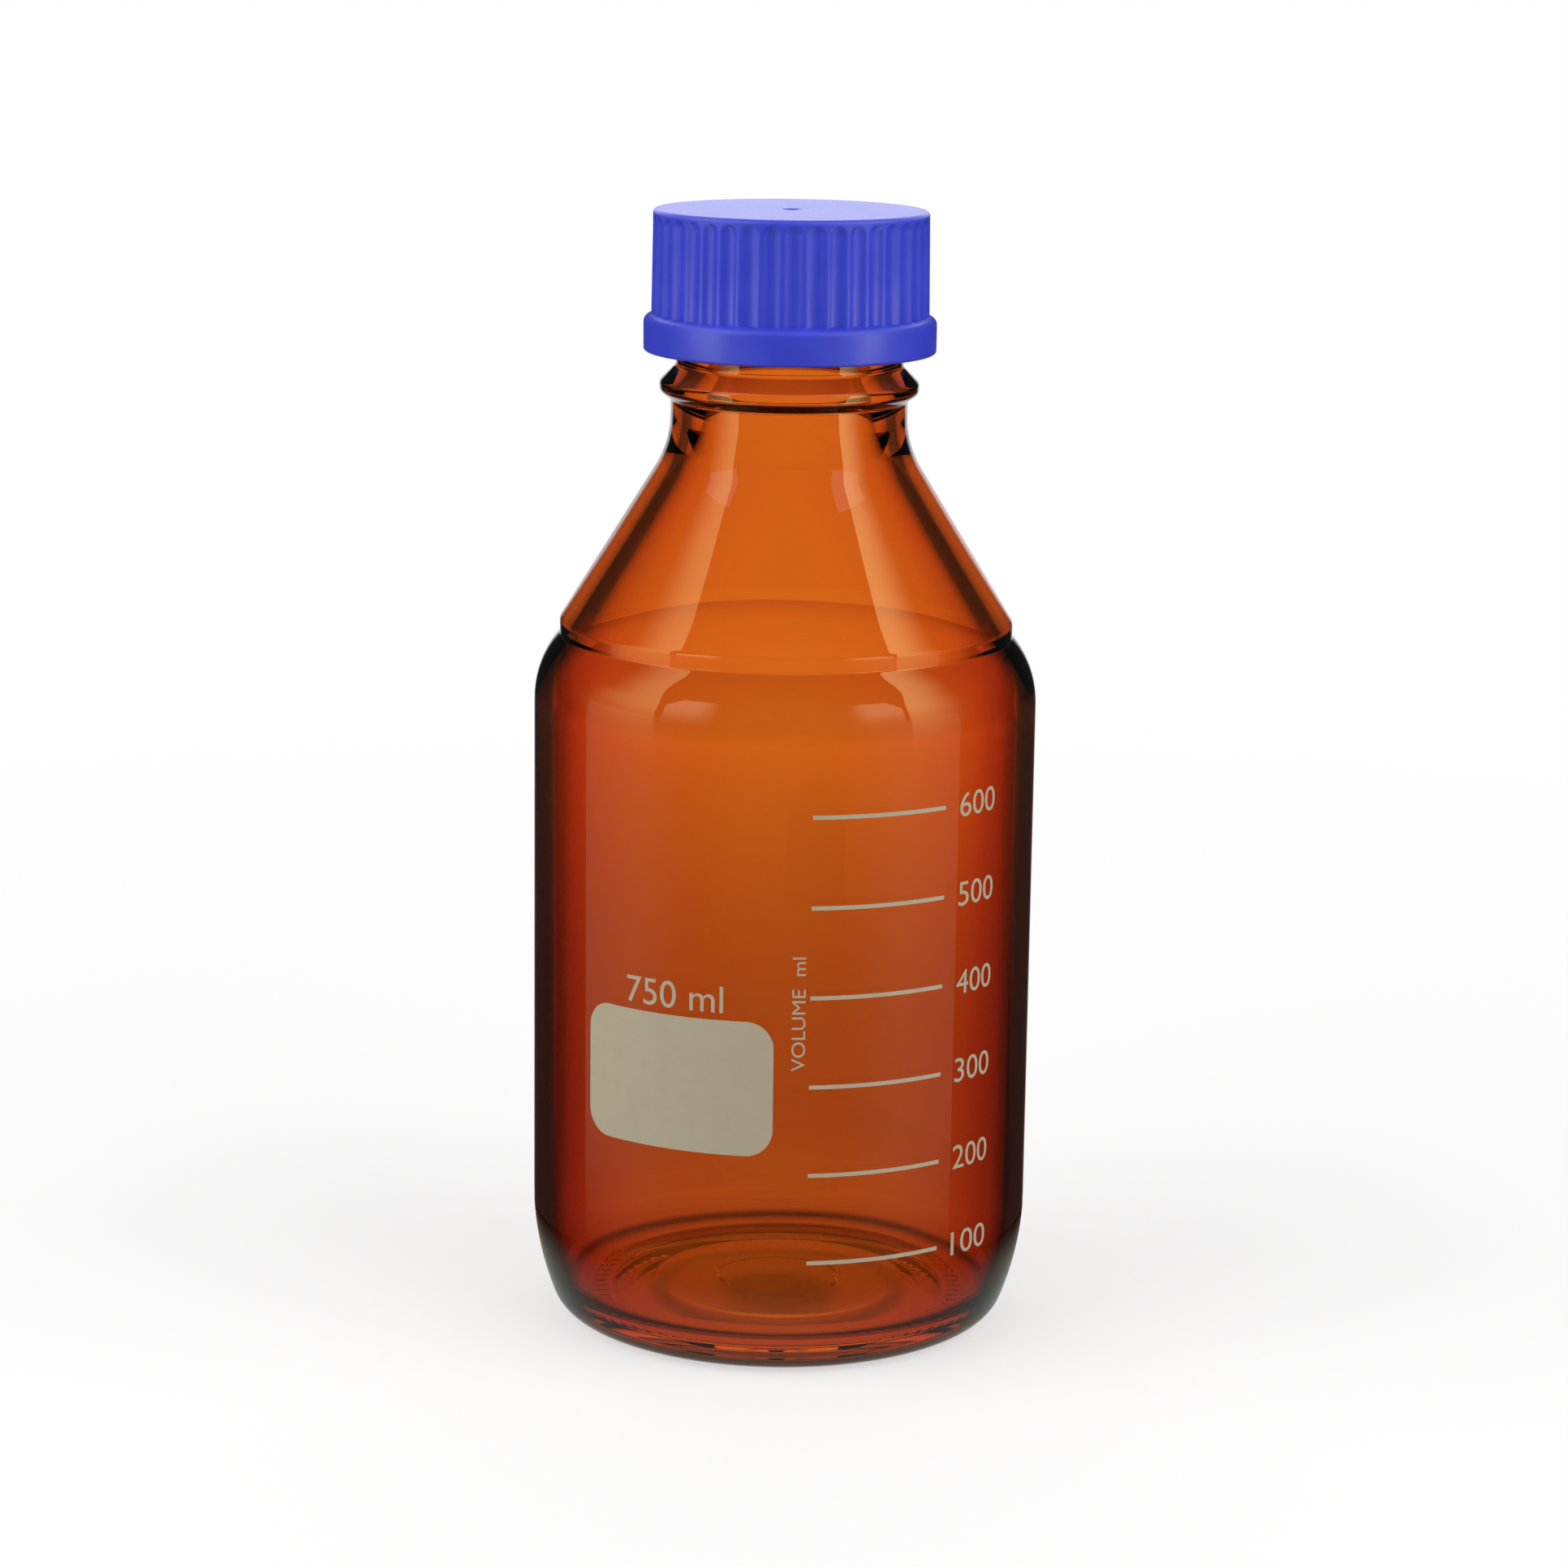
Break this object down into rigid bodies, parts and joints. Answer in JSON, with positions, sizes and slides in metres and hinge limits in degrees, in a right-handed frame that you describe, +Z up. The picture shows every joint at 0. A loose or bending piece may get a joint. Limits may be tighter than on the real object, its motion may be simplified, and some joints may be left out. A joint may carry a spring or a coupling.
{
  "type": "reagent bottle",
  "caption": "Amber glass laboratory bottle with sloping shoulder, beaded neck, clip-on pouring ring and fluted screw cap, for storing and pouring liquids.",
  "frame": {"origin": "centre of the standing ring, on the surface that the bottle stands on", "axes": "+Z up along the bottle's axis, towards the mouth; -Y is the front, between the writing field and the scale"},
  "size_m": [0.094, 0.094, 0.2095],
  "materials": {
    "amber_glass": "blown amber borosilicate glass, polished by fire",
    "blue_polypropylene": "injection moulded polypropylene, satin sheen",
    "fired_enamel": "screen printed ceramic enamel, fired into the glass"
  },
  "bodies": {
    "bottle": {"glass_bottle": "amber_glass"},
    "pouring_ring": {"pouring_ring": "blue_polypropylene"},
    "cap": {"screw_cap": "blue_polypropylene"}
  },
  "joints": [
    {"name": "cap_turn", "type": "hinge", "parent": "bottle", "child": "pouring_ring", "pos_m": [0, 0, 0.2], "axis": [0, 0, 1], "range_deg": [0, 2880]},
    {"name": "cap_rise", "type": "slide", "parent": "pouring_ring", "child": "cap", "axis": [0, 0, 1], "range_m": [0, 0.032]}
  ],
  "couplings": [
    {"joint": "cap_rise", "follows": "cap_turn", "m_per_rad": 0.00063662}
  ]
}
